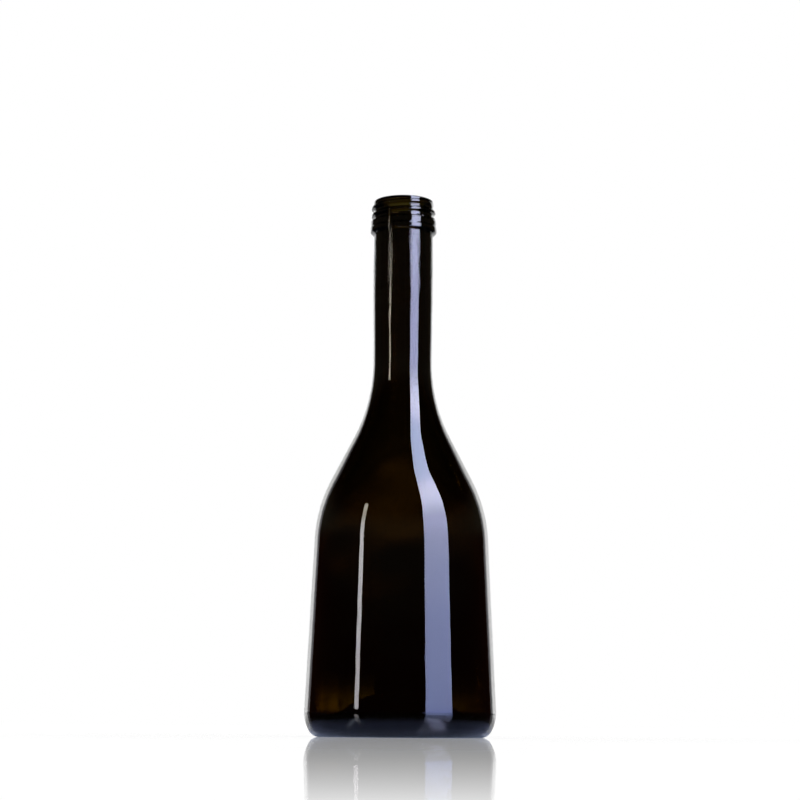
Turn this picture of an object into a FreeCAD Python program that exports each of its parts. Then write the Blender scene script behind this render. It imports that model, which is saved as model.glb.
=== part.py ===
import FreeCAD, Part
import math
import os

# Empty glass bottle with a screw finish: one piece of blown glass.
# Millimetres. +Z is up, the origin is the centre of the resting ring.
# The outline is turned about Z; the thread is lofted along its helix and fused on.

# ---- driving dimensions ------------------------------------------------------

TOTAL_HEIGHT = 250.0

# body: a slightly flared side between the heel and the shoulder
BODY_DIAMETER = 87.3          # at the top of the heel, the widest place
SHOULDER_DIAMETER = 78.6      # where the side's line meets the shoulder's slant
SHOULDER_HEIGHT = 104.3
SHOULDER_RADIUS = 66.7        # rounds the side into the slant

# neck: the slant runs up to it, and it swells slightly below the finish
NECK_DIAMETER = 27.32         # at its waist
NECK_HEIGHT = 153.8           # where the slant's line meets the neck's
NECK_RADIUS = 77.2            # rounds the slant into the neck
NECK_SWELL_DIAMETER = 28.04
NECK_TOP_DIAMETER = 27.74     # just under the finish
NECK_SWELL_PLACE = 0.72       # along the neck, from its waist to the finish

# foot: heel, resting ring and the hollow under the bottle
HEEL_HEIGHT = 11.85
HEEL_RADIUS = 16.7
FOOT_RADIUS = 5.0             # between the heel and the resting ring
RING_WIDTH = 3.4              # flat ring that the bottle stands on
RING_EDGE_RADIUS = 3.0        # between the ring and the hollow
PUNT_DEPTH = 15.0             # hollow under the base, on its axis

# glass thickness
HEEL_WALL = 4.6               # the side grows thicker towards the heel
BODY_WALL = 3.3               # under the shoulder
SHOULDER_WALL = 3.1
NECK_WALL = 3.6
FLOOR_THICKNESS = 5.5         # on the axis
HEEL_THICKNESS = 6.5          # under the lowest point inside
FLOOR_CORNER_RADIUS = 5.0     # inside, between wall and floor

# finish: ledge, bead and band below the thread, lip above it
LEDGE_DEPTH = 16.1            # from the top down to the underside of the ledge
BEAD_DIAMETER = 31.14
BEAD_UNDERSIDE = 1.0          # height of the ledge's sloping underside
BEAD_HEIGHT = 1.9
BEAD_STEP = 0.5               # height of the slope from bead to band
BAND_DIAMETER = 30.7
BAND_DEPTH = 9.7              # from the top down to the band's upper edge
BAND_SHOULDER = 0.5           # height of the slope from band to thread root
ROOT_DIAMETER = 27.9          # at the bottom of the thread
LIP_DIAMETER = 28.1
LIP_DEPTH = 2.6               # height of the smooth lip above the thread
LIP_STEP = 0.4
LIP_RADIUS = 0.7              # outer edge of the mouth
MOUTH_DIAMETER = 19.6
MOUTH_RADIUS = 1.2            # inner edge of the mouth

# small rounded edges of the finish
LEDGE_ROOT_WIDTH = 0.6        # flat strip under the ledge, beside the neck
LEDGE_ROOT_RADIUS = 0.3
BEAD_RADIUS = 0.7
BAND_RADIUS = 0.8
BAND_ROOT_RADIUS = 0.3
BORE_BEND_RADIUS = 120.0      # inside, where the bore tapers
BORE_TAPER_RISE = 12.0        # from the inside of the neck's rounding up to the taper

# thread: one right-hand start that fades out at both ends
THREAD_DIAMETER = 30.2
THREAD_PITCH = 3.6
THREAD_CREST_WIDTH = 1.3
THREAD_BASE_WIDTH = 2.9
THREAD_CREST_RISE = 0.12      # how far the crest bulges past its own edges
THREAD_BURIED = 0.9           # how deep the thread's foot sits in the wall
THREAD_SUNK = 0.45            # how deep its crest lies where it has faded out
THREAD_DEPTH = 6.4            # from the top down to the crest at THREAD_REFERENCE
THREAD_REFERENCE = 270.0      # degrees about +Z, the front of the bottle
THREAD_START_DEPTH = 9.85     # from the top down to the crest where it leaves the band
THREAD_END_DEPTH = 1.95       # and where it has faded into the lip
THREAD_FADE_IN = 30.0         # degrees over which it rises out of the band
THREAD_FADE_OUT = 60.0        # and over which it fades into the lip
THREAD_SECTION_STEP = 15.0    # degrees between the sections of the loft


# ---- flat geometry: points are (radius, height) ------------------------------

def vector(point):
    """The point of an outline in the XZ plane."""
    return FreeCAD.Vector(point[0], 0, point[1])


def line(start, end):
    return Part.LineSegment(vector(start), vector(end)).toShape()


def arc(start, middle, end):
    return Part.Arc(vector(start), vector(middle), vector(end)).toShape()


def along(start, end, distance):
    """The point at a distance from start towards end."""
    length = math.dist(start, end)
    share = distance / length
    return (start[0] + (end[0] - start[0]) * share, start[1] + (end[1] - start[1]) * share)


def shifted(start, end, offset):
    """The line start-end moved square to itself, to the left of its direction."""
    length = math.dist(start, end)
    across = (-(end[1] - start[1]) / length * offset, (end[0] - start[0]) / length * offset)
    return [(point[0] + across[0], point[1] + across[1]) for point in (start, end)]


def crossing(first, second):
    """Where two lines meet, each given by two points."""
    (ax, ay), (bx, by) = first
    (cx, cy), (dx, dy) = second
    turn = (bx - ax) * (dy - cy) - (by - ay) * (dx - cx)
    share = ((cx - ax) * (dy - cy) - (cy - ay) * (dx - cx)) / turn
    return (ax + (bx - ax) * share, ay + (by - ay) * share)


def arc_about(centre, radius, start, end):
    """The shorter arc between two points of a circle."""
    chord_middle = ((start[0] + end[0]) / 2, (start[1] + end[1]) / 2)
    return arc(start, along(centre, chord_middle, radius), end)


def rounded_corner(before, corner, after, radius):
    """Start, middle and end of the arc that rounds a corner."""
    back = along(corner, before, 1.0)
    ahead = along(corner, after, 1.0)
    half_turn = math.acos(min(1.0, math.dist(back, ahead) / 2))
    inset = radius * math.tan(half_turn)
    start = along(corner, before, inset)
    end = along(corner, after, inset)
    chord_middle = ((start[0] + end[0]) / 2, (start[1] + end[1]) / 2)
    depth = radius / math.cos(half_turn) - radius
    return start, along(corner, chord_middle, depth), end


def rounded_path(corners):
    """Edges through (radius, height, rounding) corners; the two ends stay sharp."""
    points = [corner[:2] for corner in corners]
    edges = []
    last = points[0]
    for index in range(1, len(corners) - 1):
        start, middle, end = rounded_corner(last, points[index], points[index + 1],
                                            corners[index][2])
        edges.append(line(last, start))
        edges.append(arc(start, middle, end))
        last = end
    edges.append(line(last, points[-1]))
    return edges


def dome(apex, corner_centre, corner_radius):
    """A dome about the axis that meets a rounded corner without a kink.

    Gives the centre of the dome's circle, its radius and the touching point.
    """
    drop = corner_centre[1] - apex
    radius = (corner_centre[0] ** 2 + drop ** 2 - corner_radius ** 2) / (2 * (corner_radius - drop))
    centre = (0.0, apex - radius)
    return centre, radius, along(centre, corner_centre, radius)


# ---- the wall's three straight lines, outside and inside ---------------------

# glass inwards of each line: at the heel, under the shoulder, on the slant, in the neck
OUTSIDE = (0.0, 0.0, 0.0, 0.0)
INSIDE = (HEEL_WALL, BODY_WALL, SHOULDER_WALL, NECK_WALL)


def wall_lines(heel_wall, body_wall, shoulder_wall, neck_wall):
    """Side, slant and neck lines, moved inwards by the glass at each."""
    heel = (BODY_DIAMETER / 2, HEEL_HEIGHT)
    shoulder = (SHOULDER_DIAMETER / 2, SHOULDER_HEIGHT)
    neck = (NECK_DIAMETER / 2, NECK_HEIGHT)
    top = (NECK_DIAMETER / 2, TOTAL_HEIGHT)
    side = [shifted(heel, shoulder, heel_wall)[0], shifted(heel, shoulder, body_wall)[1]]
    return (side,
            shifted(shoulder, neck, shoulder_wall),
            shifted(neck, top, neck_wall))


def wall_corners(heel_wall, body_wall, shoulder_wall, neck_wall):
    """Shoulder and neck corners with their roundings."""
    side, slant, neck = wall_lines(heel_wall, body_wall, shoulder_wall, neck_wall)
    shoulder_corner = crossing(side, slant) + (SHOULDER_RADIUS - shoulder_wall,)
    neck_corner = crossing(slant, neck) + (NECK_RADIUS + shoulder_wall,)
    return shoulder_corner, neck_corner


# ---- outline of the glass ----------------------------------------------------

def foot_edges():
    """Hollow under the base, resting ring and heel, from the axis outwards."""
    side = wall_lines(*OUTSIDE)[0]
    heel_top = side[0]
    heel_centre = shifted(side[0], side[1], HEEL_RADIUS)[0]
    reach = math.sqrt((HEEL_RADIUS - FOOT_RADIUS) ** 2 - (heel_centre[1] - FOOT_RADIUS) ** 2)
    foot_centre = (heel_centre[0] + reach, FOOT_RADIUS)
    ring_outer = (foot_centre[0], 0.0)
    ring_inner = (foot_centre[0] - RING_WIDTH, 0.0)
    heel_bottom = along(heel_centre, foot_centre, HEEL_RADIUS)
    edge_centre = (ring_inner[0], RING_EDGE_RADIUS)
    punt_centre, punt_radius, edge_top = dome(PUNT_DEPTH, edge_centre, RING_EDGE_RADIUS)
    return [arc_about(punt_centre, punt_radius, (0.0, PUNT_DEPTH), edge_top),
            arc_about(edge_centre, RING_EDGE_RADIUS, edge_top, ring_inner),
            line(ring_inner, ring_outer),
            arc_about(foot_centre, FOOT_RADIUS, ring_outer, heel_bottom),
            arc_about(heel_centre, HEEL_RADIUS, heel_bottom, heel_top)]


def wall_edges():
    """Side and shoulder, up to the neck's waist."""
    heel_top = wall_lines(*OUTSIDE)[0][0]
    shoulder_corner, neck_corner = wall_corners(*OUTSIDE)
    above = (NECK_DIAMETER / 2, TOTAL_HEIGHT)
    return rounded_path([heel_top, shoulder_corner, neck_corner, above])[:-1]


def neck_waist(walls):
    """Where the rounding into the neck ends, outside or inside."""
    shoulder_corner, neck_corner = wall_corners(*walls)
    above = (neck_corner[0], TOTAL_HEIGHT)
    return rounded_corner(shoulder_corner[:2], neck_corner[:2], above, neck_corner[2])[2]


def neck_edge():
    """The neck's gentle swell, a curve from the waist to the ledge."""
    waist = neck_waist(OUTSIDE)
    ledge = TOTAL_HEIGHT - LEDGE_DEPTH
    swell = (NECK_SWELL_DIAMETER / 2, waist[1] + (ledge - waist[1]) * NECK_SWELL_PLACE)
    through = [vector(waist), vector(swell), vector((NECK_TOP_DIAMETER / 2, ledge))]
    curve = Part.BSplineCurve()
    curve.interpolate(Points=through, InitialTangent=FreeCAD.Vector(0, 0, 1),
                      FinalTangent=through[2] - through[1])
    return curve.toShape()


def finish_and_inside_edges():
    """Ledge, bead, band, thread root, lip and mouth, then down the inside."""
    ledge = TOTAL_HEIGHT - LEDGE_DEPTH
    bead_top = ledge + BEAD_UNDERSIDE + BEAD_HEIGHT
    band_top = TOTAL_HEIGHT - BAND_DEPTH
    lip_foot = TOTAL_HEIGHT - LIP_DEPTH
    ledge_root = NECK_TOP_DIAMETER / 2 + LEDGE_ROOT_WIDTH
    inner_shoulder, inner_neck = wall_corners(*INSIDE)
    taper = (inner_neck[0], neck_waist(INSIDE)[1] + BORE_TAPER_RISE, BORE_BEND_RADIUS)
    return rounded_path([
        (NECK_TOP_DIAMETER / 2, ledge),
        (ledge_root, ledge, LEDGE_ROOT_RADIUS),
        (BEAD_DIAMETER / 2, ledge + BEAD_UNDERSIDE, BEAD_RADIUS),
        (BEAD_DIAMETER / 2, bead_top, BEAD_RADIUS),
        (BAND_DIAMETER / 2, bead_top + BEAD_STEP, BEAD_RADIUS),
        (BAND_DIAMETER / 2, band_top, BAND_RADIUS),
        (ROOT_DIAMETER / 2, band_top + BAND_SHOULDER, BAND_ROOT_RADIUS),
        (ROOT_DIAMETER / 2, lip_foot, BAND_ROOT_RADIUS),
        (LIP_DIAMETER / 2, lip_foot + LIP_STEP, BAND_ROOT_RADIUS),
        (LIP_DIAMETER / 2, TOTAL_HEIGHT, LIP_RADIUS),
        (MOUTH_DIAMETER / 2, TOTAL_HEIGHT, MOUTH_RADIUS),
        (MOUTH_DIAMETER / 2, ledge, BORE_BEND_RADIUS),
        taper,
        inner_neck,
        inner_shoulder,
        floor_corner()[1],
    ])


def floor_corner():
    """Centre of the rounding between wall and floor, and where it meets the wall."""
    side = wall_lines(*INSIDE)[0]
    height = HEEL_THICKNESS + FLOOR_CORNER_RADIUS
    level = [(0.0, height), (BODY_DIAMETER, height)]
    centre = crossing(shifted(side[0], side[1], FLOOR_CORNER_RADIUS), level)
    inwards = shifted(side[0], side[1], FLOOR_CORNER_RADIUS)[0]
    return centre, (centre[0] + side[0][0] - inwards[0], centre[1] + side[0][1] - inwards[1])


def floor_edges():
    """The domed floor inside, from the wall to the axis."""
    centre, wall_foot = floor_corner()
    apex = (0.0, PUNT_DEPTH + FLOOR_THICKNESS)
    floor_centre, floor_radius, valley = dome(apex[1], centre, FLOOR_CORNER_RADIUS)
    bottom = (centre[0], HEEL_THICKNESS)
    return [arc_about(centre, FLOOR_CORNER_RADIUS, wall_foot, bottom),
            arc_about(centre, FLOOR_CORNER_RADIUS, bottom, valley),
            arc_about(floor_centre, floor_radius, valley, apex),
            line(apex, (0.0, PUNT_DEPTH))]


def turned_glass():
    """The whole bottle but for its thread, turned about the axis."""
    edges = foot_edges() + wall_edges() + [neck_edge()]
    edges += finish_and_inside_edges() + floor_edges()
    section = Part.Face(Part.Wire(edges))
    return section.revolve(FreeCAD.Vector(0, 0, 0), FreeCAD.Vector(0, 0, 1), 360)


# ---- thread ------------------------------------------------------------------

def thread_angle(depth):
    """Degrees about +Z at which the crest is this far below the top."""
    return THREAD_REFERENCE + 360 * (THREAD_DEPTH - depth) / THREAD_PITCH


def fade(angle):
    """How much of its full height the thread has: 0 at its ends, 1 between."""
    rise = min(1.0, (angle - thread_angle(THREAD_START_DEPTH)) / THREAD_FADE_IN)
    fall = min(1.0, (thread_angle(THREAD_END_DEPTH) - angle) / THREAD_FADE_OUT)
    share = min(rise, fall)
    return share * share * (3 - 2 * share)


def thread_section(angle):
    """The thread's closed section in the half plane at an angle about the axis."""
    share = fade(angle)
    crest_height = (TOTAL_HEIGHT - THREAD_DEPTH
                    + THREAD_PITCH * (angle - THREAD_REFERENCE) / 360)
    foot = ROOT_DIAMETER / 2 - THREAD_BURIED
    faded = ROOT_DIAMETER / 2 - THREAD_SUNK
    crest = faded + (THREAD_DIAMETER / 2 - THREAD_CREST_RISE - faded) * share
    half_crest = THREAD_CREST_WIDTH / 2
    half_base = THREAD_BASE_WIDTH / 2
    turn = math.radians(angle)

    def place(radius, height):
        return FreeCAD.Vector(radius * math.cos(turn), radius * math.sin(turn),
                              crest_height + height)

    lower_foot = place(foot, -half_base)
    lower_crest = place(crest, -half_crest)
    upper_crest = place(crest, half_crest)
    upper_foot = place(foot, half_base)
    top = place(crest + THREAD_CREST_RISE, 0.0)
    return Part.Wire([Part.LineSegment(lower_foot, lower_crest).toShape(),
                      Part.Arc(lower_crest, top, upper_crest).toShape(),
                      Part.LineSegment(upper_crest, upper_foot).toShape(),
                      Part.LineSegment(upper_foot, lower_foot).toShape()])


def thread():
    """The thread as one loft through sections along its helix."""
    start = thread_angle(THREAD_START_DEPTH)
    turned = thread_angle(THREAD_END_DEPTH) - start
    count = round(turned / THREAD_SECTION_STEP)
    sections = [thread_section(start + turned * index / count) for index in range(count + 1)]
    return Part.makeLoft(sections, True, False)


# ---- the part ----------------------------------------------------------------

def bottle():
    return turned_glass().fuse(thread())


os.makedirs("parts", exist_ok=True)
bottle().exportStep("parts/bottle.step")
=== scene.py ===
import math

import bpy
import numpy as np
from mathutils import Euler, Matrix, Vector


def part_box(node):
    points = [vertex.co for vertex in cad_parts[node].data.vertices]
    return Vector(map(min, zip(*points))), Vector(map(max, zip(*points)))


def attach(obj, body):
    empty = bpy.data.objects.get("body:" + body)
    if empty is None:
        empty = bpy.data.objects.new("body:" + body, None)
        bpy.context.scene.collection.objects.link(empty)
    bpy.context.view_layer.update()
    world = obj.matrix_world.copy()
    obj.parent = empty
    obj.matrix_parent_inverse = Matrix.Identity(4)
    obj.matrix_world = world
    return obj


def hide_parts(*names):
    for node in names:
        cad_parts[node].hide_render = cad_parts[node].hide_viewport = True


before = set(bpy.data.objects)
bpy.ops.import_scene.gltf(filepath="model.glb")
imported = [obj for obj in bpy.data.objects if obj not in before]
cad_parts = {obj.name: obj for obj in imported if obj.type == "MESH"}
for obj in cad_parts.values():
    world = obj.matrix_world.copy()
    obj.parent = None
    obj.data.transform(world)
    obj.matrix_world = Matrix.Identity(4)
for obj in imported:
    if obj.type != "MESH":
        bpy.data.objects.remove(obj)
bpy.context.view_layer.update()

# Empty dark glass bottle with a screw finish, on a polished pale floor.
# Metres. +Z is up, -Y is the front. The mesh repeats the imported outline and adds
# what pressed and blown glass has: even thread flanks and a slightly uneven skin.

MM = 0.001
scene = bpy.context.scene

# ---- outline of the glass, in millimetres as (radius, height) ----------------

CAD_LOW, CAD_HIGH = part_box("bottle")
TOTAL_HEIGHT = (CAD_HIGH.z - CAD_LOW.z) / MM
BODY_DIAMETER = 87.3
SHOULDER_DIAMETER = 78.6
SHOULDER_HEIGHT = 104.3
SHOULDER_RADIUS = 66.7
NECK_DIAMETER = 27.32
NECK_HEIGHT = 153.8
NECK_RADIUS = 77.2
NECK_SWELL_DIAMETER = 28.04
NECK_TOP_DIAMETER = 27.74
NECK_SWELL_PLACE = 0.72
HEEL_HEIGHT = 11.85
HEEL_RADIUS = 16.7
FOOT_RADIUS = 5.0
RING_WIDTH = 3.4
RING_EDGE_RADIUS = 3.0
PUNT_DEPTH = 15.0

HEEL_WALL = 4.6
BODY_WALL = 3.3
SHOULDER_WALL = 3.1
NECK_WALL = 3.6
FLOOR_THICKNESS = 5.5
HEEL_THICKNESS = 6.5
FLOOR_CORNER_RADIUS = 5.0

LEDGE_DEPTH = 16.1
LEDGE_ROOT_WIDTH = 0.6
LEDGE_ROOT_RADIUS = 0.3
BEAD_DIAMETER = 31.14
BEAD_UNDERSIDE = 1.0
BEAD_HEIGHT = 1.9
BEAD_STEP = 0.5
BEAD_RADIUS = 0.7
BAND_DIAMETER = 30.7
BAND_DEPTH = 9.7
BAND_SHOULDER = 0.5
BAND_RADIUS = 0.8
BAND_ROOT_RADIUS = 0.3
ROOT_DIAMETER = 27.9
LIP_DIAMETER = 28.1
LIP_DEPTH = 2.6
LIP_STEP = 0.4
LIP_RADIUS = 0.7
MOUTH_DIAMETER = 19.6
MOUTH_RADIUS = 1.2
BORE_BEND_RADIUS = 120.0
BORE_TAPER_RISE = 12.0

THREAD_DIAMETER = 30.2
THREAD_PITCH = 3.6
THREAD_DEPTH = 6.4
THREAD_REFERENCE = 270.0
THREAD_START_DEPTH = 9.85
THREAD_END_DEPTH = 1.95
THREAD_FADE_IN = 30.0
THREAD_FADE_OUT = 60.0
THREAD_CREST_HALF = 0.42      # half of the crest before its flanks fall away
THREAD_FOOT_HALF = 1.25       # half of the thread where it has met the root
THREAD_BLEND = 0.06           # how softly it runs into the root, band and lip

# mesh: how finely the outline and its turn are cut
AROUND = 256
ARC_STEP = math.radians(4.0)
LONGEST_STEP = 3.0
FINISH_STEP = 0.12
SAME_POINT = 1e-6


def along(start, end, distance):
    """The point at a distance from start towards end."""
    share = distance / math.dist(start, end)
    return (start[0] + (end[0] - start[0]) * share, start[1] + (end[1] - start[1]) * share)


def shifted(start, end, offset):
    """The line start-end moved square to itself, to the left of its direction."""
    length = math.dist(start, end)
    across = (-(end[1] - start[1]) / length * offset, (end[0] - start[0]) / length * offset)
    return [(point[0] + across[0], point[1] + across[1]) for point in (start, end)]


def crossing(first, second):
    """Where two lines meet, each given by two points."""
    (ax, ay), (bx, by) = first
    (cx, cy), (dx, dy) = second
    turn = (bx - ax) * (dy - cy) - (by - ay) * (dx - cx)
    share = ((cx - ax) * (dy - cy) - (cy - ay) * (dx - cx)) / turn
    return (ax + (bx - ax) * share, ay + (by - ay) * share)


def straight(start, end, step=LONGEST_STEP):
    """Points from start to end, without start; none if they are the same point."""
    length = math.dist(start, end)
    if length < SAME_POINT:
        return []
    count = math.ceil(length / step)
    return [along(start, end, length * index / count) for index in range(1, count + 1)]


def round_about(centre, start, end):
    """Points on the shorter arc from start to end, without start."""
    first = math.atan2(start[1] - centre[1], start[0] - centre[0])
    turn = math.atan2(end[1] - centre[1], end[0] - centre[0]) - first
    turn = (turn + math.pi) % (2 * math.pi) - math.pi
    radius = math.dist(centre, start)
    count = max(2, math.ceil(max(abs(turn) / ARC_STEP, abs(turn) * radius / LONGEST_STEP)))
    angles = [first + turn * index / count for index in range(1, count + 1)]
    return [(centre[0] + radius * math.cos(a), centre[1] + radius * math.sin(a)) for a in angles]


def rounded_corner(before, corner, after, radius):
    """Start, centre and end of the arc that rounds a corner."""
    back = along(corner, before, 1.0)
    ahead = along(corner, after, 1.0)
    half_turn = math.acos(min(1.0, math.dist(back, ahead) / 2))
    inset = radius * math.tan(half_turn)
    middle = ((back[0] + ahead[0]) / 2, (back[1] + ahead[1]) / 2)
    centre = along(corner, middle, radius / math.cos(half_turn))
    return along(corner, before, inset), centre, along(corner, after, inset)


def rounded_path(corners, step=LONGEST_STEP):
    """Points through (radius, height, rounding) corners; the two ends stay sharp."""
    points = [corner[:2] for corner in corners]
    path = []
    last = points[0]
    for index in range(1, len(corners) - 1):
        start, centre, end = rounded_corner(last, points[index], points[index + 1],
                                            corners[index][2])
        path += straight(last, start, step) + round_about(centre, start, end)
        last = end
    return path + straight(last, points[-1], step)


def dome(apex, corner_centre, corner_radius):
    """Centre of a dome about the axis that meets a rounded corner, and where it does."""
    drop = corner_centre[1] - apex
    radius = (corner_centre[0] ** 2 + drop ** 2 - corner_radius ** 2) / (2 * (corner_radius - drop))
    centre = (0.0, apex - radius)
    return centre, along(centre, corner_centre, radius)


# glass inwards of each line: at the heel, under the shoulder, on the slant, in the neck
OUTSIDE = (0.0, 0.0, 0.0, 0.0)
INSIDE = (HEEL_WALL, BODY_WALL, SHOULDER_WALL, NECK_WALL)


def wall_lines(heel_wall, body_wall, shoulder_wall, neck_wall):
    """Side, slant and neck lines, moved inwards by the glass at each."""
    heel = (BODY_DIAMETER / 2, HEEL_HEIGHT)
    shoulder = (SHOULDER_DIAMETER / 2, SHOULDER_HEIGHT)
    neck = (NECK_DIAMETER / 2, NECK_HEIGHT)
    top = (NECK_DIAMETER / 2, TOTAL_HEIGHT)
    side = [shifted(heel, shoulder, heel_wall)[0], shifted(heel, shoulder, body_wall)[1]]
    return side, shifted(shoulder, neck, shoulder_wall), shifted(neck, top, neck_wall)


def wall_corners(heel_wall, body_wall, shoulder_wall, neck_wall):
    """Shoulder and neck corners with their roundings."""
    side, slant, neck = wall_lines(heel_wall, body_wall, shoulder_wall, neck_wall)
    shoulder_corner = crossing(side, slant) + (SHOULDER_RADIUS - shoulder_wall,)
    neck_corner = crossing(slant, neck) + (NECK_RADIUS + shoulder_wall,)
    return shoulder_corner, neck_corner


def foot_points():
    """Hollow under the base, resting ring and heel, from the axis outwards."""
    side = wall_lines(*OUTSIDE)[0]
    heel_centre = shifted(side[0], side[1], HEEL_RADIUS)[0]
    reach = math.sqrt((HEEL_RADIUS - FOOT_RADIUS) ** 2 - (heel_centre[1] - FOOT_RADIUS) ** 2)
    foot_centre = (heel_centre[0] + reach, FOOT_RADIUS)
    ring_outer = (foot_centre[0], 0.0)
    ring_inner = (foot_centre[0] - RING_WIDTH, 0.0)
    edge_centre = (ring_inner[0], RING_EDGE_RADIUS)
    punt_centre, edge_top = dome(PUNT_DEPTH, edge_centre, RING_EDGE_RADIUS)
    heel_bottom = along(heel_centre, foot_centre, HEEL_RADIUS)
    apex = (0.0, PUNT_DEPTH)
    return ([apex] + round_about(punt_centre, apex, edge_top)
            + round_about(edge_centre, edge_top, ring_inner)
            + straight(ring_inner, ring_outer)
            + round_about(foot_centre, ring_outer, heel_bottom)
            + round_about(heel_centre, heel_bottom, side[0]))


def neck_waist(walls):
    """Where the rounding into the neck ends, outside or inside."""
    shoulder_corner, neck_corner = wall_corners(*walls)
    above = (neck_corner[0], TOTAL_HEIGHT)
    return rounded_corner(shoulder_corner[:2], neck_corner[:2], above, neck_corner[2])[2]


def wall_points():
    """Side and shoulder, up to the neck's waist."""
    heel_top = wall_lines(*OUTSIDE)[0][0]
    shoulder_corner, neck_corner = wall_corners(*OUTSIDE)
    return rounded_path([heel_top, shoulder_corner, neck_corner, neck_waist(OUTSIDE)])


def neck_points():
    """The neck's gentle swell from the waist to the ledge."""
    waist = neck_waist(OUTSIDE)
    ledge = TOTAL_HEIGHT - LEDGE_DEPTH
    count = math.ceil((ledge - waist[1]) / LONGEST_STEP)
    points = []
    for index in range(1, count + 1):
        share = index / count
        if share < NECK_SWELL_PLACE:
            rise = share / NECK_SWELL_PLACE
            low, high = NECK_DIAMETER, NECK_SWELL_DIAMETER
        else:
            rise = (share - NECK_SWELL_PLACE) / (1 - NECK_SWELL_PLACE)
            low, high = NECK_SWELL_DIAMETER, NECK_TOP_DIAMETER
        blend = (1 - math.cos(math.pi * rise)) / 2
        points.append(((low + (high - low) * blend) / 2, waist[1] + (ledge - waist[1]) * share))
    return points[:-1] + [(points[-1][0], ledge - FINISH_STEP), points[-1]]


def finish_points():
    """Ledge, bead, band, thread root and lip, up to the middle of the rim."""
    ledge = TOTAL_HEIGHT - LEDGE_DEPTH
    bead_top = ledge + BEAD_UNDERSIDE + BEAD_HEIGHT
    band_top = TOTAL_HEIGHT - BAND_DEPTH
    lip_foot = TOTAL_HEIGHT - LIP_DEPTH
    ledge_root = NECK_TOP_DIAMETER / 2 + LEDGE_ROOT_WIDTH
    rim_middle = (LIP_DIAMETER + MOUTH_DIAMETER) / 4
    return rounded_path([
        (NECK_TOP_DIAMETER / 2, ledge),
        (ledge_root, ledge, LEDGE_ROOT_RADIUS),
        (BEAD_DIAMETER / 2, ledge + BEAD_UNDERSIDE, BEAD_RADIUS),
        (BEAD_DIAMETER / 2, bead_top, BEAD_RADIUS),
        (BAND_DIAMETER / 2, bead_top + BEAD_STEP, BEAD_RADIUS),
        (BAND_DIAMETER / 2, band_top, BAND_RADIUS),
        (ROOT_DIAMETER / 2, band_top + BAND_SHOULDER, BAND_ROOT_RADIUS),
        (ROOT_DIAMETER / 2, lip_foot, BAND_ROOT_RADIUS),
        (LIP_DIAMETER / 2, lip_foot + LIP_STEP, BAND_ROOT_RADIUS),
        (LIP_DIAMETER / 2, TOTAL_HEIGHT, LIP_RADIUS),
        (rim_middle, TOTAL_HEIGHT)], FINISH_STEP)


def floor_corner():
    """Centre of the rounding between wall and floor, and where it meets the wall."""
    side = wall_lines(*INSIDE)[0]
    height = HEEL_THICKNESS + FLOOR_CORNER_RADIUS
    level = [(0.0, height), (BODY_DIAMETER, height)]
    inner = shifted(side[0], side[1], FLOOR_CORNER_RADIUS)
    centre = crossing(inner, level)
    return centre, (centre[0] + side[0][0] - inner[0][0], centre[1] + side[0][1] - inner[0][1])


def inside_points():
    """From the rim down the bore and the wall to the domed floor's middle."""
    inner_shoulder, inner_neck = wall_corners(*INSIDE)
    centre, wall_foot = floor_corner()
    apex = (0.0, PUNT_DEPTH + FLOOR_THICKNESS)
    floor_centre, valley = dome(apex[1], centre, FLOOR_CORNER_RADIUS)
    bottom = (centre[0], HEEL_THICKNESS)
    bore = rounded_path([
        ((LIP_DIAMETER + MOUTH_DIAMETER) / 4, TOTAL_HEIGHT),
        (MOUTH_DIAMETER / 2, TOTAL_HEIGHT, MOUTH_RADIUS),
        (MOUTH_DIAMETER / 2, TOTAL_HEIGHT - LEDGE_DEPTH, BORE_BEND_RADIUS),
        (inner_neck[0], neck_waist(INSIDE)[1] + BORE_TAPER_RISE, BORE_BEND_RADIUS),
        inner_neck,
        inner_shoulder,
        wall_foot])
    return (bore + round_about(centre, wall_foot, bottom) + round_about(centre, bottom, valley)
            + round_about(floor_centre, valley, apex))


# ---- thread and the skin's unevenness ----------------------------------------

def steady(low, high, value):
    """0 below low, 1 above high, and an even rise between."""
    return np.clip((value - low) / (high - low), 0, 1)


def smooth(low, high, value):
    """0 below low, 1 above high, and a soft rise between."""
    share = steady(low, high, value)
    return share * share * (3 - 2 * share)


def thread_angle(depth):
    """Degrees about +Z at which the thread's crest is this far below the top."""
    return THREAD_REFERENCE + 360 * (THREAD_DEPTH - depth) / THREAD_PITCH


def thread_rise(turn, height):
    """How far the thread stands out of its root, for arrays of degrees and heights."""
    most = (THREAD_DIAMETER - ROOT_DIAMETER) / 2
    rise = np.zeros_like(height)
    start = thread_angle(THREAD_START_DEPTH)
    end = thread_angle(THREAD_END_DEPTH)
    first_winding = math.floor(start / 360)
    last_winding = math.ceil(end / 360)
    for winding in range(first_winding, last_winding + 1):
        angle = turn + 360 * winding
        crest = TOTAL_HEIGHT - THREAD_DEPTH + THREAD_PITCH * (angle - THREAD_REFERENCE) / 360
        shape = 1 - steady(THREAD_CREST_HALF, THREAD_FOOT_HALF, np.abs(height - crest))
        fade_in = smooth(start, start + THREAD_FADE_IN, angle)
        fade_out = 1 - smooth(end - THREAD_FADE_OUT, end, angle)
        rise = np.maximum(rise, most * shape * fade_in * fade_out)
    return rise


def softer_of_two(first, second, blend):
    """The larger of two arrays, rounded where they cross."""
    return (first + second + np.sqrt((first - second) ** 2 + blend ** 2)) / 2


def threaded(radius, turn, height):
    """The finish's radius with the thread on it."""
    root = ROOT_DIAMETER / 2
    rise = thread_rise(turn, height)
    with_thread = softer_of_two(radius, root + rise, THREAD_BLEND) - THREAD_BLEND / 2
    return np.where(rise > 0, np.maximum(radius, with_thread), radius)


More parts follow.
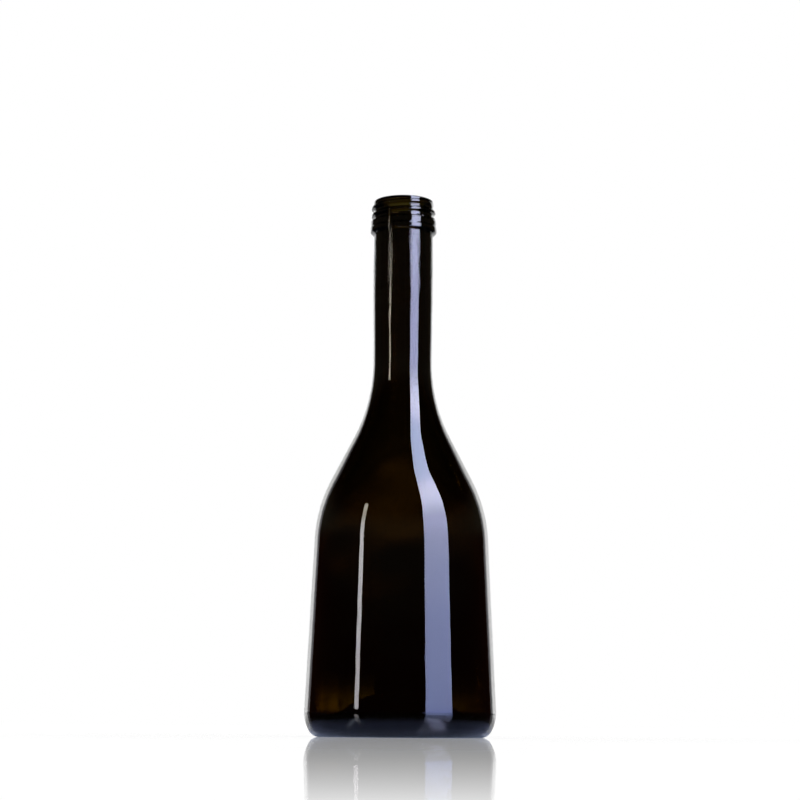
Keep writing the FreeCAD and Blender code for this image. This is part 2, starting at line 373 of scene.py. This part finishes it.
# unevenness: waves around, the height of one, their phase and their depth
SKIN_WAVES = ((2, 31.0, 0.4, 0.020), (3, 47.0, 1.9, 0.014), (5, 19.0, 3.1, 0.010),
              (7, 26.0, 5.2, 0.006))
SKIN_SUNK = 0.03              # how far the skin lies in, so that it hardly stands proud
INSIDE_WAVES = ((2, 38.0, 2.2, 0.12), (3, 55.0, 0.7, 0.09), (5, 23.0, 4.0, 0.05))
# heights between which it grows above the heel, and fades below the finish
LEDGE_HEIGHT = TOTAL_HEIGHT - LEDGE_DEPTH
SKIN_GROWS = (HEEL_HEIGHT, 2 * HEEL_HEIGHT)
SKIN_FADES = (TOTAL_HEIGHT - 1.5 * LEDGE_DEPTH, LEDGE_HEIGHT)
INSIDE_GROWS = (2 * HEEL_HEIGHT, 5 * HEEL_HEIGHT)
INSIDE_FADES = (TOTAL_HEIGHT - 2 * LEDGE_DEPTH, LEDGE_HEIGHT)


def waviness(waves, turn, height):
    """Slow bumps that the mould and the blowing leave."""
    total = np.zeros_like(height)
    for turns, length, phase, depth in waves:
        around = np.radians(turn) * turns + phase
        total += depth * np.sin(around) * np.sin(2 * math.pi * height / length + phase)
    return total


# ---- mesh --------------------------------------------------------------------

def ring_vertices(points, change):
    """One ring of vertices for each outline point; change gives its own radius."""
    turn = np.arange(AROUND) * 360 / AROUND
    radius = np.array([point[0] for point in points])[:, None] + np.zeros(AROUND)
    height = np.array([point[1] for point in points])[:, None] + np.zeros(AROUND)
    turn = turn[None, :] + np.zeros_like(radius)
    radius = change(radius, turn, height)
    spin = np.radians(turn)
    return np.stack([radius * np.cos(spin), radius * np.sin(spin), height], 2).reshape(-1, 3) * MM


def on_wall(height, grows, fades):
    """1 on the wall, 0 by the heel and by the finish."""
    return smooth(*grows, height) * (1 - smooth(*fades, height))


def outer_radius(radius, turn, height):
    """Outside: thread, and a skin that is uneven between the heel and the ledge."""
    thread_foot = TOTAL_HEIGHT - BAND_DEPTH - THREAD_FOOT_HALF
    in_thread = (height > thread_foot) & (height < TOTAL_HEIGHT - LIP_RADIUS)
    sunk = SKIN_SUNK - waviness(SKIN_WAVES, turn, height)
    skin = radius - on_wall(height, SKIN_GROWS, SKIN_FADES) * sunk
    return np.where(in_thread, threaded(radius, turn, height), skin)


def inner_radius(radius, turn, height):
    """Inside: uneven between the floor and the finish."""
    uneven = waviness(INSIDE_WAVES, turn, height)
    return radius + on_wall(height, INSIDE_GROWS, INSIDE_FADES) * uneven


def glass_mesh():
    """The closed skin of the glass: outside from the punt to the rim, then inside."""
    outside = foot_points() + wall_points() + neck_points() + finish_points()
    inside = inside_points()
    rings = np.concatenate([ring_vertices(outside[1:], outer_radius),
                            ring_vertices(inside[:-1], inner_radius)])
    rows = len(rings) // AROUND
    under_pole = len(rings)
    floor_pole = under_pole + 1
    poles = np.array([(0, 0, outside[0][1] * MM), (0, 0, inside[-1][1] * MM)])
    faces = []
    for side in range(AROUND):
        after = (side + 1) % AROUND
        faces.append((under_pole, after, side))
        last = (rows - 1) * AROUND
        faces.append((floor_pole, last + side, last + after))
        for row in range(rows - 1):
            low = row * AROUND
            high = low + AROUND
            faces.append((low + side, low + after, high + after, high + side))
    mesh = bpy.data.meshes.new("bottle_glass")
    mesh.from_pydata(np.concatenate([rings, poles]).tolist(), [], faces)
    mesh.shade_smooth()
    mesh.update()
    return mesh


# ---- materials ---------------------------------------------------------------

WHITE = (1.0, 1.0, 1.0, 1.0)


class Nodes:
    """Short ways to add and join nodes in one tree."""

    def __init__(self, owner):
        owner.use_nodes = True
        self.tree = owner.node_tree
        self.tree.nodes.clear()

    def add(self, kind, **settings):
        node = self.tree.nodes.new(kind)
        for name, value in settings.items():
            setattr(node, name, value)
        return node

    def give(self, socket, value):
        """Join an output to a socket, or set the socket to a plain value."""
        if isinstance(value, bpy.types.NodeSocket):
            self.tree.links.new(value, socket)
        elif value is not None:
            socket.default_value = value

    def parts(self, vector):
        """The outputs X, Y and Z of a vector."""
        node = self.add("ShaderNodeSeparateXYZ")
        self.give(node.inputs[0], vector)
        return node.outputs

    def maths(self, operation, first, second=None, third=None):
        node = self.add("ShaderNodeMath", operation=operation)
        for socket, value in zip(node.inputs, (first, second, third)):
            self.give(socket, value)
        return node.outputs[0]

    def range(self, value, low, high, to_low=0.0, to_high=1.0):
        """Soft step of value from low to high."""
        node = self.add("ShaderNodeMapRange", interpolation_type="SMOOTHSTEP")
        self.give(node.inputs["Value"], value)
        self.give(node.inputs["From Min"], low)
        self.give(node.inputs["From Max"], high)
        self.give(node.inputs["To Min"], to_low)
        self.give(node.inputs["To Max"], to_high)
        return node.outputs["Result"]

    def ramp(self, value, stops):
        """Colour along (place, (red, green, blue)) stops, scaled to 1, and that scale."""
        lowest, highest = stops[0][0], stops[-1][0]
        strongest = max(max(light) for place, light in stops)
        share = self.add("ShaderNodeMapRange")
        self.give(share.inputs["Value"], value)
        self.give(share.inputs["From Min"], lowest)
        self.give(share.inputs["From Max"], highest)
        ramp = self.add("ShaderNodeValToRGB")
        elements = ramp.color_ramp.elements
        while len(elements) < len(stops):
            elements.new(0.5)
        for element, (place, light) in zip(elements, stops):
            element.position = (place - lowest) / (highest - lowest)
            element.color = [part / strongest for part in light] + [1.0]
        self.give(ramp.inputs["Fac"], share.outputs["Result"])
        return ramp.outputs["Color"], strongest

    def blend(self, share, first, second, kind="MIX"):
        """Two colours brought together by share."""
        node = self.add("ShaderNodeMix", data_type="RGBA", blend_type=kind)
        self.give(node.inputs["Factor"], share)
        self.give(node.inputs["A"], first)
        self.give(node.inputs["B"], second)
        return node.outputs["Result"]

    def light(self, kind, colour, strength):
        """A shader that shines."""
        node = self.add(kind)
        self.give(node.inputs["Color"], colour)
        self.give(node.inputs["Strength"], strength)
        return node.outputs[0]

    def both(self, first, second):
        """Two shaders added up."""
        node = self.add("ShaderNodeAddShader")
        self.give(node.inputs[0], first)
        self.give(node.inputs[1], second)
        return node.outputs[0]

    def mixed(self, share, first, second):
        """The first shader where share is 0, the second where it is 1."""
        node = self.add("ShaderNodeMixShader")
        self.give(node.inputs["Fac"], share)
        self.give(node.inputs[1], first)
        self.give(node.inputs[2], second)
        return node.outputs[0]


GLASS_IOR = 1.52
GLASS_DENSITY = 1300.0                        # per metre of glass
GLASS_COLOUR = (0.438, 0.338, 0.054, 1.0)     # dark antique green to brown
PEEL_SIZE = 0.0013            # metres across one dimple of the orange peel
PEEL_DETAIL = 2.0
PEEL_DEPTH = 0.00018          # on the upper neck, where it is strongest
PEEL_BELOW = 0.03             # share of it on the body
PEEL_GROWS = 0.180            # heights between which it grows
PEEL_FULL = 0.225
PEEL_ON_FINISH = 0.05         # share of it from the ledge up


def orange_peel(nodes):
    """Normal of the fine dimples that grow up the neck and stop at the finish."""
    where = nodes.add("ShaderNodeTexCoord").outputs["Object"]
    height = nodes.parts(where)["Z"]
    ledge = (TOTAL_HEIGHT - LEDGE_DEPTH) * MM
    up_neck = nodes.range(height, PEEL_GROWS, PEEL_FULL, PEEL_BELOW, 1.0)
    at_finish = nodes.range(height, ledge - MM, ledge + MM, 1.0, PEEL_ON_FINISH)
    share = nodes.maths("MULTIPLY", up_neck, at_finish)
    dimples = nodes.add("ShaderNodeTexNoise")
    nodes.give(dimples.inputs["Vector"], where)
    nodes.give(dimples.inputs["Scale"], 1 / PEEL_SIZE)
    nodes.give(dimples.inputs["Detail"], PEEL_DETAIL)
    bump = nodes.add("ShaderNodeBump")
    nodes.give(bump.inputs["Height"], nodes.maths("MULTIPLY", dimples.outputs["Fac"], share))
    nodes.give(bump.inputs["Strength"], 1.0)
    nodes.give(bump.inputs["Distance"], PEEL_DEPTH)
    return bump.outputs["Normal"]


def glass_material():
    """Dark coloured glass: clear surface, colour from its depth, fine orange peel."""
    material = bpy.data.materials.new("dark_glass")
    nodes = Nodes(material)
    output = nodes.add("ShaderNodeOutputMaterial")
    surface = nodes.add("ShaderNodeBsdfPrincipled")
    nodes.give(surface.inputs["Base Color"], WHITE)
    nodes.give(surface.inputs["Roughness"], 0.0)
    nodes.give(surface.inputs["IOR"], GLASS_IOR)
    nodes.give(surface.inputs["Transmission Weight"], 1.0)
    nodes.give(surface.inputs["Normal"], orange_peel(nodes))
    absorption = nodes.add("ShaderNodeVolumeAbsorption")
    nodes.give(absorption.inputs["Color"], GLASS_COLOUR)
    nodes.give(absorption.inputs["Density"], GLASS_DENSITY)
    nodes.give(output.inputs["Surface"], surface.outputs[0])
    nodes.give(output.inputs["Volume"], absorption.outputs[0])
    return material


# ---- surroundings ------------------------------------------------------------

ROOM_LIGHT = (0.022, 0.006, 0.003)
# a faint light higher up in the room, by a ray's rise per unit of its length
HIGH_LIGHT = ((-1.0, (0.0, 0.0, 0.0)), (0.12, (0.0, 0.0, 0.0)),
              (0.20, (0.030, 0.036, 0.024)), (0.28, (0.030, 0.036, 0.024)),
              (0.45, (0.0, 0.0, 0.0)), (1.0, (0.0, 0.0, 0.0)))
# what glass shows, by degrees either side of straight behind: backdrop, then a dark warm room
ROUND_LIGHT = ((0.0, (1.0, 1.0, 1.0)), (14.0, (1.0, 1.0, 1.0)), (19.0, (1.3, 1.3, 1.3)),
               (26.0, (1.65, 1.65, 1.65)), (31.0, (2.1, 2.1, 2.1)), (33.5, (0.8, 0.8, 0.8)),
               (35.0, (0.45, 0.44, 0.46)), (40.0, (0.42, 0.40, 0.42)), (42.0, ROOM_LIGHT),
               (180.0, ROOM_LIGHT))
# how much of it shows through the glass, by a ray's rise per unit of its length
THROUGH_GLASS = ((-1.0, (0.03, 0.03, 0.03)), (0.055, (0.03, 0.03, 0.03)),
                 (0.075, (0.5, 0.5, 0.5)), (0.088, (1.4, 1.4, 1.3)), (0.108, (1.3, 1.3, 1.2)),
                 (0.118, (0.6, 0.6, 0.6)), (0.128, (0.25, 0.25, 0.25)),
                 (0.15, (0.35, 0.38, 0.35)), (0.20, (0.2, 0.25, 0.2)),
                 (0.24, (0.5, 0.65, 0.45)), (1.0, (0.6, 0.75, 0.5)))
BACKDROP_FADES = 0.28         # the same rise, where reflections lose the backdrop overhead
BACKDROP_ENDS = 0.60
AMBIENT = 0.6                 # white light on matt surfaces


def light_in_reflections(nodes, rise, backdrop, strongest):
    """The backdrop, which fades overhead, and the faint light higher up."""
    below_top = nodes.range(rise, BACKDROP_FADES, BACKDROP_ENDS, strongest, 0.0)
    around = nodes.light("ShaderNodeBackground", backdrop, below_top)
    faint, faint_strength = nodes.ramp(rise, HIGH_LIGHT)
    return nodes.both(around, nodes.light("ShaderNodeBackground", faint, faint_strength))


def light_through_glass(nodes, rise, backdrop, strongest):
    """The backdrop, dimmed by how steeply it is seen."""
    dimmed, brightest = nodes.ramp(rise, THROUGH_GLASS)
    colour = nodes.blend(1.0, backdrop, dimmed, "MULTIPLY")
    return nodes.light("ShaderNodeBackground", colour, strongest * brightest)


def world_light():
    """White for the camera; a white backdrop behind and a dark room for the glass."""
    world = bpy.data.worlds.new("studio")
    scene.world = world
    world.cycles.sampling_method = "NONE"
    nodes = Nodes(world)
    output = nodes.add("ShaderNodeOutputWorld")
    path = nodes.add("ShaderNodeLightPath").outputs
    direction = nodes.parts(nodes.add("ShaderNodeTexCoord").outputs["Generated"])
    rise = direction["Z"]
    sideways = nodes.maths("ARCTAN2", direction["X"], direction["Y"])
    degrees = nodes.maths("DEGREES", nodes.maths("ABSOLUTE", sideways))
    backdrop, strongest = nodes.ramp(degrees, ROUND_LIGHT)
    for_glass = nodes.mixed(path["Is Transmission Ray"],
                            light_in_reflections(nodes, rise, backdrop, strongest),
                            light_through_glass(nodes, rise, backdrop, strongest))
    ambient = nodes.maths("MULTIPLY", path["Is Diffuse Ray"], AMBIENT)
    seen = nodes.maths("ADD", ambient, path["Is Camera Ray"])
    white = nodes.light("ShaderNodeBackground", WHITE, seen)
    shiny = nodes.maths("MAXIMUM", path["Is Glossy Ray"], path["Is Transmission Ray"])
    nodes.give(output.inputs["Surface"], nodes.mixed(shiny, white, for_glass))


# upright panels: azimuth in degrees from the front towards +X, distance, width and the
# heights of the lower and upper edge; their light is (height, (red, green, blue)) stops
SOFTBOX = (45.7, 0.55, 0.325, 0.0, 1.20)
SOFTBOX_LIGHT = ((0.0, (2.3, 2.8, 6.0)), (0.08, (3.5, 4.1, 7.4)), (0.13, (4.2, 4.8, 8.3)),
                 (0.18, (5.8, 6.3, 9.8)), (0.26, (7.4, 7.9, 12.3)), (0.32, (7.3, 7.6, 11.6)),
                 (0.37, (8.9, 9.4, 13.4)), (0.46, (11.8, 12.3, 16.8)),
                 (0.57, (12.8, 13.1, 17.5)), (0.70, (11.6, 12.0, 16.7)),
                 (0.80, (9.2, 10.1, 14.8)), (0.95, (7.9, 9.0, 13.4)), (1.20, (7.4, 8.8, 13.2)))
STRIP = (-50.7, 0.42, 0.039, 0.038, 0.340)
STRIP_LIGHT = ((0.038, (7.0, 6.5, 6.9)), (0.08, (8.0, 7.6, 7.9)), (0.14, (9.5, 9.2, 9.5)),
               (0.20, (8.8, 8.4, 8.2)), (0.25, (6.4, 5.9, 5.0)), (0.29, (6.8, 6.3, 5.3)),
               (0.325, (8.2, 7.7, 6.6)), (0.340, (6.6, 6.1, 5.2)))
# low panels behind the bottle, for the glass alone: azimuth, width and share of the light
LOW_PANELS = ((206.5, 0.13, 1.1), (194.8, 0.075, 0.6), (187.0, 0.063, 0.2),
              (160.5, 0.24, 0.15))
LOW_DISTANCE = 0.5
LOW_LIGHT = ((0.0, (100.0, 180.0, 100.0)), (0.008, (90.0, 160.0, 90.0)),
             (0.013, (65.0, 115.0, 65.0)), (0.019, (24.0, 42.0, 24.0)),
             (0.025, (7.0, 12.0, 7.0)), (0.035, (0.0, 0.0, 0.0)))


def panel(name, azimuth, distance, width, low, high, material):
    """An upright rectangle that faces the axis, seen by reflections and through glass."""
    turn = math.radians(azimuth)
    middle = (distance * math.sin(turn), -distance * math.cos(turn))
    side = (math.cos(turn) * width / 2, math.sin(turn) * width / 2)
    corners = [(middle[0] - side[0], middle[1] - side[1], low),
               (middle[0] + side[0], middle[1] + side[1], low),
               (middle[0] + side[0], middle[1] + side[1], high),
               (middle[0] - side[0], middle[1] - side[1], high)]
    mesh = bpy.data.meshes.new(name)
    mesh.from_pydata(corners, [], [(3, 2, 1, 0)])
    mesh.materials.append(material)
    thing = bpy.data.objects.new(name, mesh)
    scene.collection.objects.link(thing)
    thing.visible_camera = False
    thing.visible_diffuse = False
    thing.visible_shadow = False
    return thing


def lamp_material(name, levels):
    """Light from the panel's front that changes with height."""
    material = bpy.data.materials.new(name)
    nodes = Nodes(material)
    output = nodes.add("ShaderNodeOutputMaterial")
    place = nodes.add("ShaderNodeNewGeometry").outputs
    colour, strongest = nodes.ramp(nodes.parts(place["Position"])["Z"], levels)
    front = nodes.maths("SUBTRACT", 1.0, place["Backfacing"])
    strength = nodes.maths("MULTIPLY", front, strongest)
    nodes.give(output.inputs["Surface"], nodes.light("ShaderNodeEmission", colour, strength))
    return material


def lamps():
    """A broad cool light at the right, a narrow one at the left, and low ones behind."""
    panel("softbox", *SOFTBOX, lamp_material("softbox_light", SOFTBOX_LIGHT))
    panel("strip", *STRIP, lamp_material("strip_light", STRIP_LIGHT))
    bottom, top = LOW_LIGHT[0][0], LOW_LIGHT[-1][0]
    for azimuth, width, share in LOW_PANELS:
        levels = [(height, [part * share for part in light]) for height, light in LOW_LIGHT]
        glow = panel("low_light", azimuth, LOW_DISTANCE, width, bottom, top,
                     lamp_material("low_light", levels))
        glow.visible_glossy = False


FLOOR_HALF = 3.0
FLOOR_IOR = 1.5
FLOOR_SEEN = 0.8                         # its matt grey for the camera
FLOOR_WHITE = 1.01                       # what light of its own brings it up to
FLOOR_PAINTED_LIGHT_NEAR = (0.50, 0.58, 1.0, 1.0)      # what polished glass shows of it, by the foot: a painted pool of light
FLOOR_PAINTED_SHADE_FAR = (0.02, 0.02, 0.03, 1.0)      # and further out: painted shade
FLOOR_LIT = 0.040                        # metres from the axis, between which the painted light by the foot fades to painted shade
FLOOR_UNLIT = 0.075
# light that the glass finds in the floor: painted light and painted reflections of the lamps, and
# the white of the backdrop's sweep;
# the kind of ray that sees it, the middle and half of its sector in degrees from the front towards
# +X, its radii in metres, and its colour
PAINTED_FLOOR_GLOWS = (
    ("Is Glossy Ray", 0.0, 190.0, 0.0, 0.0435, (0.19, 0.23, 0.33)),          # painted light under the heel
    ("Is Glossy Ray", 26.5, 5.5, 0.045, 0.070, (1.15, 1.25, 2.0)),           # painted reflection of the softbox
    ("Is Glossy Ray", 40.0, 13.0, 0.130, FLOOR_HALF, (2.0, 2.4, 4.6)),       # painted reflection of the softbox, further down
    ("Is Glossy Ray", -37.0, 1.5, 0.048, 0.070, (0.9, 1.0, 1.2)),            # painted reflection of the strip
    ("Is Glossy Ray", 180.0, 34.0, 0.080, FLOOR_HALF, (1.0, 1.0, 1.0)),      # backdrop's sweep
    # painted light: a bright floor behind the bottle, seen through the glass low down
    ("Is Transmission Ray", -138.0, 28.0, 0.040, 0.090, (60.0, 105.0, 60.0)),
    ("Is Transmission Ray", 138.0, 28.0, 0.040, 0.090, (9.0, 14.0, 10.0)))
SECTOR_SOFT = 3.0             # degrees
RADIUS_SOFT = 0.08            # share of the radius
RADIUS_SOFT_LEAST = 0.001     # metres more than that share, inwards
MIRROR_NEAR = 0.815           # share that the floor mirrors, before it falls away
MIRROR_FALL = 0.0126          # square metres
MIRROR_REACH = 0.925          # metres from the axis where the mirror has faded
MIRROR_LEFT_LEAST = 0.05      # metres short of that at least, so that the fall stays finite
MIRROR_HALF = 0.05            # half width of the strip at the front where it reaches that far
MIRROR_NARROWS = 0.05         # how much less that is for each metre from the axis
MIRROR_SIDE_SOFT = 0.03
ASIDE_FADES = 0.07            # elsewhere the camera loses the mirror between these radii
ASIDE_ENDS = 0.22


def sector(nodes, azimuth, length, middle, half, inner, outer):
    """1 inside a sector of a ring on the floor, 0 outside it."""
    turned = nodes.maths("WRAP", nodes.maths("SUBTRACT", azimuth, middle), 180.0, -180.0)
    aside = nodes.maths("ABSOLUTE", turned)
    within = nodes.range(aside, half - SECTOR_SOFT, half + SECTOR_SOFT, 1.0, 0.0)
    low, high = 1 - RADIUS_SOFT, 1 + RADIUS_SOFT
    beyond = nodes.range(length, inner * low - RADIUS_SOFT_LEAST, inner * high, 0.0, 1.0)
    before = nodes.range(length, outer * low, outer * high, 1.0, 0.0)
    return nodes.maths("MULTIPLY", within, nodes.maths("MULTIPLY", beyond, before))


def floor_colour(nodes, length, for_camera):
    """Pale for the camera; for polished glass it is painted dark like shade, and painted brighter
    close to the foot like a pool of light.
    """
    painted_light_by_foot = nodes.range(length, FLOOR_LIT, FLOOR_UNLIT, 1.0, 0.0)
    painted_for_glass = nodes.blend(painted_light_by_foot, FLOOR_PAINTED_SHADE_FAR, FLOOR_PAINTED_LIGHT_NEAR)
    return nodes.blend(for_camera, painted_for_glass, (FLOOR_SEEN, FLOOR_SEEN, FLOOR_SEEN, 1.0))


def white_and_painted_floor_glows(nodes, azimuth, length, path):
    """Strengths and colours of the floor's own light: plain white for the camera, painted light and
    painted reflections for the glass.
    """
    missing = FLOOR_WHITE - FLOOR_SEEN * AMBIENT
    glows = [(nodes.maths("MULTIPLY", path["Is Camera Ray"], missing), (1.0, 1.0, 1.0))]
    for kind, middle, half, inner, outer, colour in PAINTED_FLOOR_GLOWS:
        where = sector(nodes, azimuth, length, middle, half, inner, outer)
        glows.append((nodes.maths("MULTIPLY", where, path[kind]), colour))
    return glows


def mirrored_outwards(nodes, length):
    """Share of light that the floor mirrors: polished, and less so outwards."""
    left = nodes.maths("SUBTRACT", MIRROR_REACH, length)
    left = nodes.maths("MAXIMUM", left, MIRROR_LEFT_LEAST)
    fall = nodes.maths("DIVIDE", MIRROR_FALL, nodes.maths("MULTIPLY", left, left))
    share = nodes.maths("MAXIMUM", nodes.maths("SUBTRACT", MIRROR_NEAR, fall), 0.0)
    grazing = nodes.add("ShaderNodeFresnel")
    nodes.give(grazing.inputs["IOR"], FLOOR_IOR)
    return nodes.maths("MULTIPLY", share, grazing.outputs[0])


def lost_aside(nodes, across, ahead, length, for_camera):
    """Share of the mirror that the camera loses away from the foot and the front."""
    widened = nodes.maths("MULTIPLY_ADD", length, MIRROR_NARROWS, nodes.maths("ABSOLUTE", across))
    beside = nodes.range(widened, MIRROR_HALF, MIRROR_HALF + MIRROR_SIDE_SOFT)
    behind = nodes.range(ahead, -MIRROR_SIDE_SOFT, 0.0, 1.0, 0.0)
    away = nodes.range(length, ASIDE_FADES, ASIDE_ENDS)
    aside = nodes.maths("MULTIPLY", nodes.maths("MAXIMUM", beside, behind), away)
    return nodes.maths("MULTIPLY", aside, for_camera)


def floor_material():
    """Polished pale floor: white, with the bottle's reflection fading outwards, and painted light
    and painted reflections of the lamps that only the glass sees.
    """
    material = bpy.data.materials.new("pale_floor")
    nodes = Nodes(material)
    output = nodes.add("ShaderNodeOutputMaterial")
    path = nodes.add("ShaderNodeLightPath").outputs
    for_camera = path["Is Camera Ray"]
    place = nodes.add("ShaderNodeNewGeometry").outputs["Position"]
    measure = nodes.add("ShaderNodeVectorMath", operation="LENGTH")
    nodes.give(measure.inputs[0], place)
    length = measure.outputs["Value"]
    parts = nodes.parts(place)
    ahead = nodes.maths("MULTIPLY", parts["Y"], -1.0)
    azimuth = nodes.maths("DEGREES", nodes.maths("ARCTAN2", parts["X"], ahead))
    matt = nodes.add("ShaderNodeBsdfDiffuse")
    nodes.give(matt.inputs["Color"], floor_colour(nodes, length, for_camera))
    surface = matt.outputs[0]
    # plain white for the camera, and painted light and painted reflections of the lamps glowing in
    # the floor for the glass
    for strength, colour in white_and_painted_floor_glows(nodes, azimuth, length, path):
        brightest = max(colour)
        tint = [part / brightest for part in colour] + [1.0]
        power = nodes.maths("MULTIPLY", strength, brightest)
        surface = nodes.both(surface, nodes.light("ShaderNodeEmission", tint, power))
    mirror = nodes.add("ShaderNodeBsdfGlossy")
    nodes.give(mirror.inputs["Roughness"], 0.0)
    nodes.give(mirror.inputs["Color"], WHITE)
    lost = lost_aside(nodes, parts["X"], ahead, length, for_camera)
    kept = nodes.maths("SUBTRACT", 1.0, lost)
    share = nodes.maths("MULTIPLY", mirrored_outwards(nodes, length), kept)
    nodes.give(output.inputs["Surface"], nodes.mixed(share, surface, mirror.outputs[0]))
    return material


def floor():
    half = FLOOR_HALF
    mesh = bpy.data.meshes.new("floor")
    mesh.from_pydata([(-half, -half, 0), (half, -half, 0), (half, half, 0), (-half, half, 0)],
                     [], [(0, 1, 2, 3)])
    mesh.materials.append(floor_material())
    thing = bpy.data.objects.new("floor", mesh)
    scene.collection.objects.link(thing)
    thing.location.z = CAD_LOW.z


CAMERA_DISTANCE = 0.925
CAMERA_HEIGHT = 0.006
CAMERA_LENS = 90.44           # millimetres
CAMERA_SENSOR = 36.0
CAMERA_TILT = 9.1565          # degrees up
CAMERA_TURN = 0.067           # degrees left of the axis
CAMERA_ROLL = 0.42            # degrees
CAMERA_SEES_FROM = 0.01
CAMERA_SEES_TO = 100.0


def camera():
    data = bpy.data.cameras.new("camera")
    data.lens = CAMERA_LENS
    data.sensor_width = CAMERA_SENSOR
    data.clip_start = CAMERA_SEES_FROM
    data.clip_end = CAMERA_SEES_TO
    thing = bpy.data.objects.new("camera", data)
    scene.collection.objects.link(thing)
    thing.location = (0, -CAMERA_DISTANCE, CAMERA_HEIGHT)
    aim = Euler((math.radians(90 + CAMERA_TILT), 0, math.radians(CAMERA_TURN))).to_matrix()
    roll = Euler((0, 0, math.radians(CAMERA_ROLL))).to_matrix()
    thing.rotation_euler = (aim @ roll).to_euler()
    scene.camera = thing


# ---- put together ------------------------------------------------------------

scene.view_settings.view_transform = "Standard"

bottle = bpy.data.objects.new("bottle_glass", glass_mesh())
scene.collection.objects.link(bottle)
bottle.data.materials.append(glass_material())
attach(bottle, "root")
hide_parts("bottle")

world_light()
lamps()
floor()
camera()
